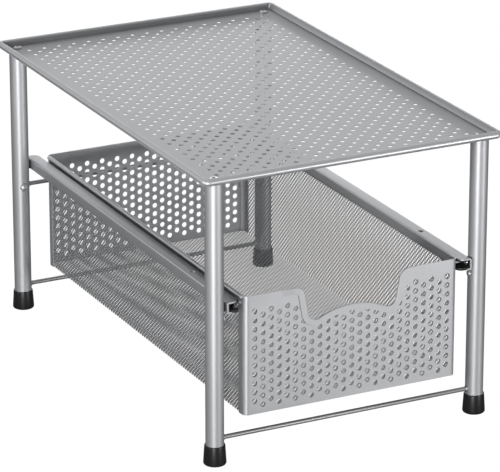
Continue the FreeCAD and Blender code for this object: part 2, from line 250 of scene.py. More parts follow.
class Shape:
    """Points and faces gathered for one piece."""

    def __init__(self):
        self.points = []
        self.faces = []

    def take(self, points):
        """Add points and give their numbers."""
        first = len(self.points)
        self.points.extend(Vector(p) for p in points)
        return list(range(first, len(self.points)))

    def face(self, corners):
        """Add a face, unless its corners fall together into a line."""
        corners = tuple(dict.fromkeys(corners))
        if len(corners) > 2:
            self.faces.append(corners)

    def wall(self, ring_a, ring_b):
        """Faces between two rings of points."""
        count = len(ring_a)
        for i in range(count):
            j = (i + 1) % count
            self.face((ring_a[i], ring_a[j], ring_b[j], ring_b[i]))

    def bar(self, ring_a, ring_b):
        """A wall between two rings with both ends closed."""
        self.wall(ring_a, ring_b)
        self.face(ring_a)
        self.face(ring_b)

    def join(self, other, place):
        """Add another shape, moved to a place."""
        first = len(self.points)
        self.points.extend(place @ p for p in other.points)
        self.faces.extend(tuple(first + i for i in face) for face in other.faces)


def circle(u, v, radius, count):
    """Points round a circle in a plane."""
    angles = [i * 2 * math.pi / count for i in range(count)]
    return [(u + radius * math.cos(a), v + radius * math.sin(a)) for a in angles]


def arc(centre, radius, start, end, steps):
    """Points along an arc in a plane, with both ends."""
    angles = [start + (end - start) * i / steps for i in range(steps + 1)]
    return [(centre[0] + radius * math.cos(a), centre[1] + radius * math.sin(a)) for a in angles]


def inside(loop, point):
    """Whether a point of the plane is inside a closed loop."""
    x, y = point
    within = False
    for (ax, ay), (bx, by) in zip(loop, loop[1:] + loop[:1]):
        if (ay > y) != (by > y) and x < ax + (bx - ax) * (y - ay) / (by - ay):
            within = not within
    return within


def rightward(path, i):
    """The unit direction to the right of an open path, at one of its points."""
    ax, ay = path[max(i - 1, 0)]
    bx, by = path[min(i + 1, len(path) - 1)]
    run = math.hypot(bx - ax, by - ay)
    return (by - ay) / run, (ax - bx) / run


def offset_path(path, distance):
    """An open path moved to its right by a distance, point by point."""
    moved = []
    for i, (x, y) in enumerate(path):
        nx, ny = rightward(path, i)
        moved.append((x + distance * nx, y + distance * ny))
    return moved


def flat_triangles(loops, creases):
    """Triangles inside the first loop and outside the others; creases join points of the first loop."""
    points = [Vector(p) for loop in loops for p in loop]
    owner = [i for i, loop in enumerate(loops) for _ in loop]
    edges = list(creases)
    first = 0
    for loop in loops:
        count = len(loop)
        edges += [(first + i, first + (i + 1) % count) for i in range(count)]
        first += count
    _, _, triangles, origins, _, _ = delaunay_2d_cdt(points, edges, [], 0, MERGE)
    kept = []
    for triangle in triangles:
        a, b, c = (origins[i][0] for i in triangle)
        if owner[a] == owner[b] == owner[c]:
            middle = (points[a] + points[b] + points[c]) / 3
            if inside(loops[owner[a]], middle) == (owner[a] > 0):
                continue
        kept.append((a, b, c))
    return kept


def creased(outline, marks):
    """The outline with points added where it crosses each mark, and the pairs of points to join there."""
    full = []
    for (ax, ay), (bx, by) in zip(outline, outline[1:] + outline[:1]):
        full.append((ax, ay))
        for t in sorted((m - ax) / (bx - ax) for m in marks if min(ax, bx) < m < max(ax, bx)):
            if MERGE < t * abs(bx - ax) < abs(bx - ax) - MERGE:
                full.append((ax + (bx - ax) * t, ay + (by - ay) * t))
    pairs = []
    for mark in marks:
        on = sorted((p[1], i) for i, p in enumerate(full) if abs(p[0] - mark) < MERGE)
        for (low, i), (high, j) in zip(on, on[1:]):
            if inside(full, (mark, (low + high) / 2)):
                pairs.append((i, j))
    return full, pairs


def folded(start, heading, runs):
    """A sheet's profile of straight runs and bends, each given as its length and turn along the face.

    Gives the lengths at which it creases, and a function from length and depth to the profile's plane.
    """
    stages = []
    marks = []
    along = 0.0
    point = Vector(start)
    angle = heading

    def left(a):
        return Vector((-math.sin(a), math.cos(a)))

    for run, turn in runs:
        stages.append((along, run, turn, point, angle))
        if turn:
            marks += [along + run * i / BEND_STEPS for i in range(BEND_STEPS + 1)]
            point = point + (run / turn) * (left(angle) - left(angle + turn))
            angle += turn
        else:
            point = point + run * Vector((math.cos(angle), math.sin(angle)))
        along += run

    def at(u, depth):
        stage = next((s for s in stages if u <= s[0] + s[1] + MERGE), stages[-1])
        begin, run, turn, spot, way = stage
        gone = u - begin
        if turn:
            bent = way + turn * gone / run
            return spot + (run / turn) * (left(way) - left(bent)) + depth * left(bent)
        return spot + gone * Vector((math.cos(way), math.sin(way))) + depth * left(way)

    return marks, at


def sheet_shape(outline, holes, sides, thickness, place, creases=(), collar=0.0):
    """A flat pattern with round holes given thickness; place sets a point from its u, v and depth.

    A collar draws each hole's edge that much deeper, as a punch does.
    """
    shape = Shape()
    lip = COLLAR_T if collar else 0.0
    loops = [list(outline)] + [circle(u, v, r + lip, sides) for u, v, r in holes]
    flat = [p for loop in loops for p in loop]
    near = shape.take(place(u, v, 0.0) for u, v in flat)
    far = shape.take(place(u, v, thickness) for u, v in flat)
    for a, b, c in flat_triangles(loops, creases):
        shape.face((near[a], near[b], near[c]))
        shape.face((far[c], far[b], far[a]))
    count = len(outline)
    shape.wall(near[:count], far[:count])
    for i, (u, v, r) in enumerate(holes):
        first = count + i * sides
        rings = [near[first:first + sides], far[first:first + sides]]
        if collar:
            depth = thickness + collar
            for radius, d in ((r, 0.0), (r, depth), (r + lip, depth)):
                ring = shape.take(place(a, b, d) for a, b in circle(u, v, radius, sides))
                rings.insert(-1, ring)
        for ring_a, ring_b in zip(rings, rings[1:]):
            shape.wall(ring_a, ring_b)
    return shape


def turned(profile, sides):
    """A body turned about Z, from (radius, height) points."""
    shape = Shape()
    rings = []
    for radius, height in profile:
        if radius > 0:
            rings.append(shape.take((x, y, height) for x, y in circle(0, 0, radius, sides)))
        else:
            rings.append(shape.take([(0, 0, height)]) * sides)
    for ring_a, ring_b in zip(rings, rings[1:]):
        shape.wall(ring_a, ring_b)
    return shape


def make_piece(name, shape, finish, body, nodes=()):
    """A piece of the visible model from gathered faces, riding on a body."""
    mesh = bpy.data.meshes.new(name)
    mesh.from_pydata(shape.points, [], shape.faces)
    work = bmesh.new()
    work.from_mesh(mesh)
    bmesh.ops.remove_doubles(work, verts=work.verts, dist=MERGE)
    bmesh.ops.recalc_face_normals(work, faces=work.faces)
    work.to_mesh(mesh)
    work.free()
    place_piece(name, mesh, finish, body, nodes)


def place_piece(name, mesh, finish, body, nodes):
    """Shade a mesh, give it its finish and set it on its body."""
    mesh.shade_smooth()
    mesh.set_sharp_from_angle(angle=SMOOTH_ANGLE)
    mesh.materials.clear()
    mesh.materials.append(finish)
    piece = bpy.data.objects.new(name, mesh)
    bpy.context.scene.collection.objects.link(piece)
    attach(piece, body)
    if nodes:
        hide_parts(*nodes)


def softened_piece(name, node, edge, finish, body):
    """A node's solid with its edges rounded."""
    mesh = bpy.data.meshes.new(name)
    work = bmesh.new()
    work.from_mesh(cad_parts[node].data)
    bmesh.ops.remove_doubles(work, verts=work.verts, dist=MERGE)
    bmesh.ops.dissolve_limit(work, angle_limit=math.radians(1), verts=work.verts, edges=work.edges)
    sharp = [e for e in work.edges if len(e.link_faces) == 2 and e.calc_face_angle() > SMOOTH_ANGLE]
    bmesh.ops.bevel(
        work, geom=sharp, offset=edge, offset_type="OFFSET", segments=2, profile=0.5,
        affect="EDGES", clamp_overlap=True)
    bmesh.ops.recalc_face_normals(work, faces=work.faces)
    work.to_mesh(mesh)
    work.free()
    place_piece(name, mesh, finish, body, (node,))


# Materials

class Signal:
    """An output of a material's nodes; arithmetic on it adds Math nodes."""

    def __init__(self, shader, socket):
        self.shader = shader
        self.socket = socket

    def maths(self, operation, first, second):
        return self.shader.node("ShaderNodeMath", {"operation": operation}, {0: first, 1: second})

    def __add__(self, other):
        return self.maths("ADD", self, other)

    def __radd__(self, other):
        return self.maths("ADD", other, self)

    def __sub__(self, other):
        return self.maths("SUBTRACT", self, other)

    def __rsub__(self, other):
        return self.maths("SUBTRACT", other, self)

    def __mul__(self, other):
        return self.maths("MULTIPLY", self, other)

    def __rmul__(self, other):
        return self.maths("MULTIPLY", other, self)


class Shader:
    """The node tree of a material or the world, cleared for building."""

    def __init__(self, owner):
        owner.use_nodes = True
        self.tree = owner.node_tree
        self.tree.nodes.clear()

    def node(self, kind, settings=None, sockets=None, output=0):
        """A node with its settings made first, then the values or links of its sockets."""
        made = self.tree.nodes.new(kind)
        for key, value in (settings or {}).items():
            setattr(made, key, value)
        for key, value in (sockets or {}).items():
            if isinstance(value, Signal):
                self.tree.links.new(value.socket, made.inputs[key])
            else:
                made.inputs[key].default_value = value
        return Signal(self, made.outputs[output]) if len(made.outputs) else None

    def where(self):
        return self.node("ShaderNodeTexCoord", output="Object")

    def noise(self, where, scale, detail):
        sockets = {"Vector": where, "Scale": scale, "Detail": detail, "Roughness": 0.6}
        return self.node("ShaderNodeTexNoise", {}, sockets, "Fac")

    def mix(self, factor, first, second):
        """A mix of two colours."""
        sockets = {0: factor, 6: (*first, 1.0), 7: (*second, 1.0)}
        return self.node("ShaderNodeMix", {"data_type": "RGBA"}, sockets, 2)

    def bump(self, height, distance, strength):
        sockets = {"Height": height, "Distance": distance, "Strength": strength}
        return self.node("ShaderNodeBump", {}, sockets)

    def surface(self, shader):
        self.node("ShaderNodeOutputMaterial", {}, {"Surface": shader})


def shaded(rgb, factor):
    return tuple(min(1.0, c * factor) for c in rgb)


def new_material(name):
    return bpy.data.materials.get(name) or bpy.data.materials.new(name)


def silver_coat(name, finishes, tone, grain):
    """Silver powder coat: fine metallic flecks, slight orange peel and a faint drift of tone."""
    material = new_material(name)
    shader = Shader(material)
    where = shader.where()
    fleck = shader.noise(where, scale=2600.0, detail=2.0)
    peel = shader.noise(where, scale=700.0, detail=3.0)
    drift = shader.noise(where, scale=11.0, detail=2.0)
    # A tone below 1 darkens the coat as painted shade
    silver = shaded(finishes.silver, tone)
    edge = finishes.silver_edge
    blend = fleck * 0.7 + drift * 0.3
    principled = shader.node("ShaderNodeBsdfPrincipled", {}, {
        "Base Color": shader.mix(blend, shaded(silver, 1.0 - grain), shaded(silver, 1.0 + grain)),
        "Metallic": finishes.silver_metal,
        "Specular Tint": (edge, edge, edge, 1.0),
        "Roughness": finishes.silver_rough - 0.06 + fleck * 0.06 + drift * 0.06,
        "Normal": shader.bump(peel, distance=0.05 * MM, strength=0.35),
    })
    shader.surface(principled)
    return material


def zinc_plate(name, finishes):
    """Bright zinc of the screws and rivets, with faint cloudy staining."""
    material = new_material(name)
    shader = Shader(material)
    cloud = shader.noise(shader.where(), scale=420.0, detail=3.0)
    principled = shader.node("ShaderNodeBsdfPrincipled", {}, {
        "Base Color": shader.mix(cloud, shaded(finishes.zinc, 0.82), shaded(finishes.zinc, 1.12)),
        "Metallic": 0.9,
        "Roughness": 0.24 + cloud * 0.18,
        "Normal": shader.bump(cloud, distance=0.03 * MM, strength=0.3),
    })
    shader.surface(principled)
    return material


def black_mould(name, rgb, rough, gloss, grain_scale):
    """Moulded black rubber or plastic: fine grain and a little dust in random patches."""
    material = new_material(name)
    shader = Shader(material)
    where = shader.where()
    grain = shader.noise(where, grain_scale, detail=3.0)
    dust = shader.noise(where, scale=60.0, detail=3.0)
    principled = shader.node("ShaderNodeBsdfPrincipled", {}, {
        "Base Color": shader.mix(dust, shaded(rgb, 0.75), shaded(rgb, 1.5)),
        "Roughness": rough - 0.05 + grain * 0.1,
        "Specular IOR Level": gloss,
        "Normal": shader.bump(grain, distance=0.06 * MM, strength=0.4),
    })
    shader.surface(principled)
    return material


# Operators, one for each piece or group of like pieces

class SceneOperator:
    """What the operators share."""

    bl_options = {"REGISTER", "UNDO"}

    @staticmethod
    def finish(context, name):
        finishes = context.scene.organizer_finishes
        if name in SILVER_TONES:
            tone, grain = SILVER_TONES[name]
            return silver_coat(name, finishes, tone, grain)
        if name == "zinc":
            return zinc_plate(name, finishes)
        if name == "black_rubber":
            return black_mould(name, finishes.rubber, rough=0.36, gloss=0.38, grain_scale=900.0)
        return black_mould(name, finishes.plastic, rough=0.42, gloss=0.4, grain_scale=1400.0)


class ORGANIZER_OT_shelf(SceneOperator, bpy.types.Operator):
    """Make the perforated shelf and its rolled rim"""

    bl_idname = "organizer.shelf"
    bl_label = "Shelf"

    def execute(self, context):
        sizes = context.scene.organizer_shelf
        bead_r = (SHELF_HIGH.z - SHELF_LOW.z) / 2
        middle_x = SHELF_HIGH.x - bead_r
        middle_y = SHELF_HIGH.y - bead_r
        path = self.corner_path(middle_x, middle_y, sizes.corner_r)
        shape = self.perforated(sizes, [(x, y) for x, y, _, _ in path])
        rings = []
        for x, y, nx, ny in path:
            rings.append(shape.take(
                (x + nx * out, y + ny * out, SHELF_LOW.z + bead_r + up)
                for out, up in self.rim_section(bead_r, sizes, abs(nx))))
        for ring_a, ring_b in zip(rings, rings[1:] + rings[:1]):
            shape.wall(ring_a, ring_b)
        finish = self.finish(context, "frame_silver")
        make_piece("shelf_perforated", shape, finish, "frame", ["shelf_tray"])
        return {"FINISHED"}

    @staticmethod
    def corner_path(x, y, radius):
        """The rim's middle line round the shelf, as points and outward directions."""
        path = []
        for sx, sy, start in ((1, 1, 0), (-1, 1, 1), (-1, -1, 2), (1, -1, 3)):
            centre = (sx * (x - radius), sy * (y - radius))
            for px, py in arc(centre, radius, start * QUARTER, (start + 1) * QUARTER, BEND_STEPS):
                path.append((px, py, (px - centre[0]) / radius, (py - centre[1]) / radius))
        return path

    @staticmethod
    def rim_section(r, sizes, side):
        """The rolled rim's section, with the roll's end below; its inner face leans out along the sides."""
        soft = RIM_SOFT * r
        top_in = (-r + soft, r - soft)
        middle = (0, 0)
        upright = [(-r, -r), (-r, -r + sizes.rim_wall)]
        upright += arc(top_in, soft, math.pi, QUARTER, CORNER_STEPS)[1:]
        leaning = [(out * r, up * r) for out, up in RIM_LEAN]
        leaning += arc(middle, r, RIM_LEAN_TOP, QUARTER, len(upright) - len(leaning) - 1)
        section = [(a + (c - a) * side, b + (d - b) * side) for (a, b), (c, d) in zip(upright, leaning)]
        section += arc(middle, r, QUARTER, GROOVE_EDGES[0], BEAD_STEPS)[1:]
        section += arc(middle, GROOVE_R * r, *GROOVE_FLOOR, 1)
        section += arc(middle, r, GROOVE_EDGES[1], -QUARTER, LIP_STEPS)
        return section

    @staticmethod
    def perforated(sizes, outline):
        """The sheet with its staggered holes, which stay between the legs."""
        holes = []
        hole_r = sizes.hole_d / 2
        reach_x = LEG_X - LEG_R + 0.8 * MM
        reach_y = LEG_Y - 10.0 * MM
        columns = int(reach_x / sizes.column_step)
        for column in range(-columns, columns + 1):
            odd = column % 2
            shift = odd * sizes.row_step / 2
            rows = int((reach_y - shift) / sizes.row_step)
            for row in range(-rows - odd, rows + 1):
                holes.append((column * sizes.column_step, row * sizes.row_step + shift, hole_r))
        top = SHELF_LOW.z + sizes.sheet
        return sheet_shape(
            outline, holes, SHELF_HOLE_SIDES, sizes.sheet, lambda u, v, d: (u, v, top - d))


class ORGANIZER_OT_legs(SceneOperator, bpy.types.Operator):
    """Make the four tube legs"""

    bl_idname = "organizer.legs"
    bl_label = "Legs"

    def execute(self, context):
        finish = self.finish(context, "frame_silver")
        inner = LEG_R - TUBE_WALL
        low, high = LEG_LOW.z, LEG_HIGH.z
        profile = [(LEG_R, low), (LEG_R, high), (inner, high), (inner, low), (LEG_R, low)]
        tube = turned(profile, LEG_SIDES)
        for corner, (sx, sy) in CORNERS.items():
            shape = Shape()
            shape.join(tube, Matrix.Translation((sx * LEG_X, sy * LEG_Y, 0)))
            make_piece("tube_leg_" + corner, shape, finish, "frame", ["leg_" + corner])
        return {"FINISHED"}


class ORGANIZER_OT_feet(SceneOperator, bpy.types.Operator):
    """Make the rubber feet"""

    bl_idname = "organizer.feet"
    bl_label = "Feet"

    def execute(self, context):
        foot = self.foot(context.scene.organizer_rails.foot_edge)
        shape = Shape()
        for sx, sy in CORNERS.values():
            shape.join(foot, Matrix.Translation((sx * LEG_X, sy * LEG_Y, 0)))
        finish = self.finish(context, "black_rubber")
        make_piece("rubber_feet", shape, finish, "frame", ["feet"])
        return {"FINISHED"}

    @staticmethod
    def foot(edge):
        """A cap that tapers upwards, with a hollow under it and a socket for the leg."""
        base_r = FEET_HIGH.x - LEG_X
        top_r = base_r - 1.0 * MM
        high = FEET_HIGH.z
        lip = 0.5 * MM
        grip = LEG_R + 0.05 * MM
        hollow = 0.4 * MM
        tread = base_r - edge
        lean = 0.03
        profile = [(0, hollow), (tread - 1.5 * MM, hollow), (tread - 1.2 * MM, 0)]
        profile += arc((tread, edge), edge, -QUARTER, lean, BEND_STEPS)
        profile += arc((top_r - lip, high - lip), lip, lean, QUARTER, LIP_STEPS)
        profile += [(grip, high), (grip, LEG_LOW.z), (0, LEG_LOW.z)]
        return turned(profile, FOOT_SIDES)


class ORGANIZER_OT_rods(SceneOperator, bpy.types.Operator):
    """Make the cross rods with their welds"""

    bl_idname = "organizer.rods"
    bl_label = "Cross rods"

    def execute(self, context):
        # The rods get the silver coat darkened as painted shade
        finish = self.finish(context, "rod_silver_painted_shade")
        for node in ("front_low_rod", "rear_low_rod", "rear_high_rod"):
            low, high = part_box(node)
            r = (high.z - low.z) / 2
            end = high.x + 0.7 * MM
            weld = [(r + stand * MM, end - back * MM) for stand, back in WELD] + [(0, end)]
            profile = [(radius, -x) for radius, x in reversed(weld)] + weld
            shape = Shape()
            place = Matrix.Translation((0, (low.y + high.y) / 2, (low.z + high.z) / 2))
            shape.join(turned(profile, ROD_SIDES), place @ Matrix.Rotation(QUARTER, 4, "Y"))
            make_piece("welded_" + node, shape, finish, "frame", [node])
        return {"FINISHED"}


class ORGANIZER_OT_rails(SceneOperator, bpy.types.Operator):
    """Make the two C-shaped rails with their pressed stops"""

    bl_idname = "organizer.rails"
    bl_label = "Rails"

    def execute(self, context):
        sizes = context.scene.organizer_rails
        finish = self.finish(context, "frame_silver")
        rail = self.rail(sizes)
        for side, place in SIDE_PLACES.items():
            shape = Shape()
            shape.join(rail, place)
            make_piece("channel_rail_" + side, shape, finish, "frame", ["rail_" + side])
        return {"FINISHED"}

    @staticmethod
    def rail(sizes):
        """The right rail, with the stop in its top flange."""
        r = sizes.rail_bend_r
        width = RAIL_HIGH.x - RAIL_LOW.x
        flange = width - r
        web = RAIL_HIGH.z - RAIL_LOW.z - 2 * r
        bend = (r * QUARTER, QUARTER)
        runs = [(flange, 0), bend, (web, 0), bend, (flange, 0)]
        marks, at = folded((RAIL_LOW.x, RAIL_LOW.z), 0.0, runs)
        total = sum(run for run, _ in runs)
        y0, y1 = RAIL_LOW.y, RAIL_HIGH.y
        c = sizes.rail_corner_r
        notch_u = width - sizes.notch_gap
        notch_y = y0 + sizes.notch_l
        outline = [(0, notch_y), (notch_u, notch_y), (notch_u, y0)]
        outline += arc((total - c, y0 + c), c, -QUARTER, 0, CORNER_STEPS)
        outline += arc((total - c, y1 - c), c, 0, QUARTER, CORNER_STEPS)
        outline += arc((c, y1 - c), c, QUARTER, math.pi, CORNER_STEPS)
        outline, creases = creased(outline, marks)
        stop_r = 2.5 * MM
        stop_y = 73.0 * MM - LEG_Y
        stop_u = total - (width - sizes.rail_t) / 2
        stop_hole = (stop_u, stop_y, stop_r)

        def place(u, v, depth):
            x, z = at(u, depth)
            return (x, v, z)

        shape = sheet_shape(outline, [stop_hole], STOP_SIDES, sizes.rail_t, place, creases, STOP_COLLAR)
        stop_place = Matrix.Translation(place(stop_u, stop_y, 0))
        for skin in STOP_SKINS:
            cup = turned([(part * stop_r, -down * MM) for part, down in skin], STOP_SIDES)
            shape.join(cup, stop_place)
        return shape


class ORGANIZER_OT_rail_plastics(SceneOperator, bpy.types.Operator):
    """Make the black saddles, rail liners and runner slides"""

    bl_idname = "organizer.rail_plastics"
    bl_label = "Saddles, liners and slides"

    def execute(self, context):
        edge = context.scene.organizer_rails.plastic_edge
        finish = self.finish(context, "black_plastic")
        for corner in CORNERS:
            node = "rail_saddle_" + corner
            softened_piece("moulded_saddle_" + corner, node, edge, finish, "frame")
        for side in SIDES:
            node = "rail_liner_" + side
            softened_piece("moulded_liner_" + side, node, edge, finish, "frame")
            node = "drawer_runner_slide_" + side
            softened_piece("moulded_slide_" + side, node, edge, finish, "drawer")
        return {"FINISHED"}


class ORGANIZER_OT_runners(SceneOperator, bpy.types.Operator):
    """Make the drawer's folded runner strips"""

    bl_idname = "organizer.runners"
    bl_label = "Runner strips"

    def execute(self, context):
        sizes = context.scene.organizer_rails
        finish = self.finish(context, "drawer_silver")
        strip = self.strip(sizes)
        for side, place in SIDE_PLACES.items():
            shape = Shape()
            shape.join(strip, place)
            node = "drawer_runner_strip_" + side
            make_piece("folded_runner_" + side, shape, finish, "drawer", [node])
        return {"FINISHED"}

    @staticmethod
    def strip(sizes):
        """The right strip, from the flange's edge in the rail to the upright's top edge."""
        t = sizes.strip_t
        r = sizes.strip_bend_r
        face_x = STRIP_LOW.x + t
        flange = STRIP_HIGH.x - face_x - r
        upright = STRIP_HIGH.z - STRIP_LOW.z - t - r
        bend = r * QUARTER
        runs = [(flange, 0), (bend, -QUARTER), (upright, 0)]
        marks, at = folded((STRIP_HIGH.x, STRIP_LOW.z + t), math.pi, runs)
        step = flange + bend
        total = step + upright
        y0, y1 = STRIP_LOW.y, STRIP_HIGH.y
        inset = 5.7 * MM
        outline = [
            (0, y0 + inset), (step, y0 + inset), (step, y0), (total, y0),
            (total, y1), (step, y1), (step, y1 - inset), (0, y1 - inset),
        ]
        outline, creases = creased(outline, marks)

        def place(u, v, depth):
            x, z = at(u, depth)
            return (x, v, z)

        shape = sheet_shape(outline, [], 0, t, place, creases)
        roll_r = sizes.strip_roll_r
        roll_x = face_x + 0.8 * roll_r
        ring = circle(roll_x, STRIP_HIGH.z - roll_r, roll_r, ROLL_SIDES)
        near, far = (shape.take((x, y, z) for x, z in ring) for y in (y0, y1))
        shape.bar(near, far)
        return shape


class ORGANIZER_OT_drawer_front(SceneOperator, bpy.types.Operator):
    """Make the drawer's perforated front with its finger scoop"""

    bl_idname = "organizer.drawer_front"
    bl_label = "Drawer front"

    def execute(self, context):
        sizes = context.scene.organizer_drawer
        scoop = scoop_path(context.scene.organizer_scoop)
        shape = drawer_wall(sizes, FRONT_LOW, FRONT_HIGH, 1, scoop)
        self.add_hem(shape, sizes, scoop)
        finish = self.finish(context, "drawer_silver")
        make_piece("perforated_front", shape, finish, "drawer", ["drawer_front"])
        return {"FINISHED"}

    @staticmethod
    def add_hem(shape, sizes, scoop):
        """The sheet's edge along the scoop, folded forward into a band that fades out past the ears."""
        t, width = sizes.sheet, sizes.hem_w
        last = len(scoop) - 1
        rows = []
        for i, (x, z) in enumerate(scoop):
            fade = min(1.0, min(i, last - i) / HEM_FADE_STEPS)
            stand = max(HEM_LEAST, sizes.hem_t * fade)
            edge = min(HEM_EDGE, stand / 2)
            section = [
                (t, t), (edge, t), (0, t - edge), (0, edge - stand), (edge, -stand), (width - edge, -stand),
                (width, edge - stand), (width, HEM_OVERLAP), (t, HEM_OVERLAP),
            ]
            nx, nz = rightward(scoop, i)
            rows.append(shape.take((x + nx * n, FRONT_LOW.y + d, z + nz * n) for n, d in section))
        for ring_a, ring_b in zip(rows, rows[1:]):
            shape.wall(ring_a, ring_b)
        shape.face(rows[0])
        shape.face(rows[-1])


def scoop_path(scoop):
    """The scoop's edge in the front's plane, left to right, with a run of top edge at both ends."""
    top = FRONT_HIGH.z
    dip = (-scoop.dip_x, top + scoop.dip_r - scoop.dip_depth)
    ear = (dip[0] - scoop.flank_run, top - scoop.ear_r)
    hump_r = (scoop.dip_x ** 2 + scoop.hump_rise ** 2) / (2 * scoop.hump_rise) - scoop.dip_r
    hump = (0.0, top + scoop.hump_rise - scoop.dip_depth - hump_r)
    across = math.atan2(dip[1] - ear[1], dip[0] - ear[0])
    apart = math.hypot(dip[0] - ear[0], dip[1] - ear[1])
    flank = across + math.acos((scoop.ear_r + scoop.dip_r) / apart)
    meet = math.atan2(dip[1] - hump[1], dip[0] - hump[0])
    lead = 12.0 * MM
    half = [(ear[0] - lead * i / HEM_FADE_STEPS, top) for i in range(HEM_FADE_STEPS, 0, -1)]
    half += arc(ear, scoop.ear_r, QUARTER, flank, EAR_STEPS)
    half += arc(dip, scoop.dip_r, flank + math.pi, meet + math.pi, DIP_STEPS)
    half += arc(hump, hump_r, meet, QUARTER, DIP_STEPS)[1:]
    return half + [(-x, z) for x, z in reversed(half[:-1])]


def near_path(path, x, z):
    """Distance from a point to an open path."""
    best = 1.0
    for (ax, az), (bx, bz) in zip(path, path[1:]):
        dx, dz = bx - ax, bz - az
        t = max(0.0, min(1.0, ((x - ax) * dx + (z - az) * dz) / (dx * dx + dz * dz)))
        best = min(best, math.hypot(x - ax - t * dx, z - az - t * dz))
    return best


def drawer_wall(sizes, low, high, sign, scoop):
    """A perforated wall with bent side edges; sign 1 has its outer face at -Y, and -1 at +Y."""
    r = sizes.bend_r
    back = high.y - low.y
    bend = (r * QUARTER, QUARTER)
    flat = high.x - low.x - 2 * r
    runs = [(back - r, 0), bend, (flat, 0), bend, (back - r, 0)]
    start = (low.x, high.y) if sign > 0 else (high.x, low.y)
    marks, at = folded(start, -sign * QUARTER, runs)
    total = sum(run for run, _ in runs)
    middle = total / 2
    outline = [(0, low.z), (total, low.z), (total, high.z)]
    if scoop:
        edge = [scoop[0]] + offset_path(scoop, sizes.sheet) + [scoop[-1]]
        outline += [(middle + x, z) for x, z in reversed(edge)]
    outline.append((0, high.z))
    outline, creases = creased(outline, marks)
    holes = []
    hole_r = sizes.hole_d / 2
    side_margin = 10.0 * MM
    low_margin = 6.9 * MM
    cover = hole_r + 1.8 * MM
    columns = int((high.x - low.x - 2 * side_margin) / sizes.column_step) + 1
    tall = high.z - low.z - sizes.top_margin - low_margin - sizes.row_step / 2
    rows = int(tall / sizes.row_step) + 1
    for column in range(columns):
        x = (column - (columns - 1) / 2) * sizes.column_step
        shift = sizes.row_step / 2 * (column % 2)
        for row in range(rows):
            z = high.z - sizes.top_margin - shift - row * sizes.row_step
            if scoop and (near_path(scoop, x, z) < cover or inside(scoop, (x, z))):
                continue
            holes.append((middle + sign * x, z, hole_r))

    def place(u, v, depth):
        x, y = at(u, depth)
        return (x, y, v)

    collar = sizes.collar if scoop else 0.0
    return sheet_shape(outline, holes, WALL_HOLE_SIDES, sizes.sheet, place, creases, collar)


class ORGANIZER_OT_drawer_back(SceneOperator, bpy.types.Operator):
    """Make the drawer's perforated back"""

    bl_idname = "organizer.drawer_back"
    bl_label = "Drawer back"

    def execute(self, context):
        shape = drawer_wall(context.scene.organizer_drawer, BACK_LOW, BACK_HIGH, -1, None)
        finish = self.finish(context, "drawer_silver")
        make_piece("perforated_back", shape, finish, "drawer", ["drawer_back"])
        return {"FINISHED"}


class ORGANIZER_OT_drawer_mesh(SceneOperator, bpy.types.Operator):
    """Make the drawer's diamond mesh sides and bottom"""

    bl_idname = "organizer.drawer_mesh"
    bl_label = "Drawer mesh"

    def execute(self, context):
        sizes = context.scene.organizer_drawer
        # The mesh gets the silver coat darkened as painted shade
        finish = self.finish(context, "mesh_silver")
        region = [
            (SIDE_LOW.y, SIDE_LOW.z), (SIDE_HIGH.y, SIDE_LOW.z),
            (SIDE_HIGH.y, SIDE_HIGH.z), (SIDE_LOW.y, SIDE_HIGH.z),
        ]
        for side, sign in SIDES.items():
            shape = self.weave(sizes, region, lambda u, v, d: (sign * (SIDE_HIGH.x - d), u, v))
            node = "drawer_mesh_side_" + side
            make_piece("diamond_mesh_" + side, shape, finish, "drawer", [node])
        x0, y0 = BOTTOM_LOW.x, BOTTOM_LOW.y
        x1, y1 = BOTTOM_HIGH.x, BOTTOM_HIGH.y
        cut = 2.5 * MM
        region = [
            (x0 + cut, y0), (x1 - cut, y0), (x1, y0 + cut), (x1, y1 - cut),
            (x1 - cut, y1), (x0 + cut, y1), (x0, y1 - cut), (x0, y0 + cut),
        ]
        shape = self.weave(sizes, region, lambda u, v, d: (u, v, BOTTOM_HIGH.z - d))
        node = "drawer_mesh_bottom"
        make_piece("diamond_mesh_bottom", shape, finish, "drawer", [node])
        return {"FINISHED"}

    @staticmethod
    def weave(sizes, region, place):
        """Two crossing families of straight strands, rounded and cut off at the region's edge."""
        shape = Shape()
        mid_u = sum(u for u, _ in region) / len(region)
        mid_v = sum(v for _, v in region) / len(region)
        reach = max(math.hypot(u - mid_u, v - mid_v) for u, v in region)
        count = int(reach / sizes.strand_gap)
        half_w, half_t = sizes.strand_w / 2, sizes.strand_t / 2
        section = [(x * half_w, (y + 1) * half_t) for x, y in circle(0, 0, 1, STRAND_SIDES)]
        for turn, sunk in ((QUARTER / 2, 0.0), (-QUARTER / 2, 0.4 * half_t)):
            du, dv = math.cos(turn), math.sin(turn)
            for k in range(-count, count + 1):
                u = mid_u - dv * k * sizes.strand_gap
                v = mid_v + du * k * sizes.strand_gap
                ends = chord((u, v), (du, dv), region)
                if not ends:
                    continue
                near, far = (
                    shape.take(
                        place(u + du * end - dv * aside, v + dv * end + du * aside, sunk + depth)
                        for aside, depth in section)
                    for end in ends)
                shape.bar(near, far)
        return shape


def chord(start, way, region):
    """How far a line runs, each way from its start, inside a convex region that runs anticlockwise."""
    low, high = -1.0, 1.0
    for (ax, ay), (bx, by) in zip(region, region[1:] + region[:1]):
        nx, ny = by - ay, ax - bx
        toward = nx * way[0] + ny * way[1]
        room = nx * (ax - start[0]) + ny * (ay - start[1])
        if abs(toward) < MERGE * MERGE:
            if room < 0:
                return None
        elif toward > 0:
            high = min(high, room / toward)
        else:
            low = max(low, room / toward)
    return (low, high) if high - low > MM else None


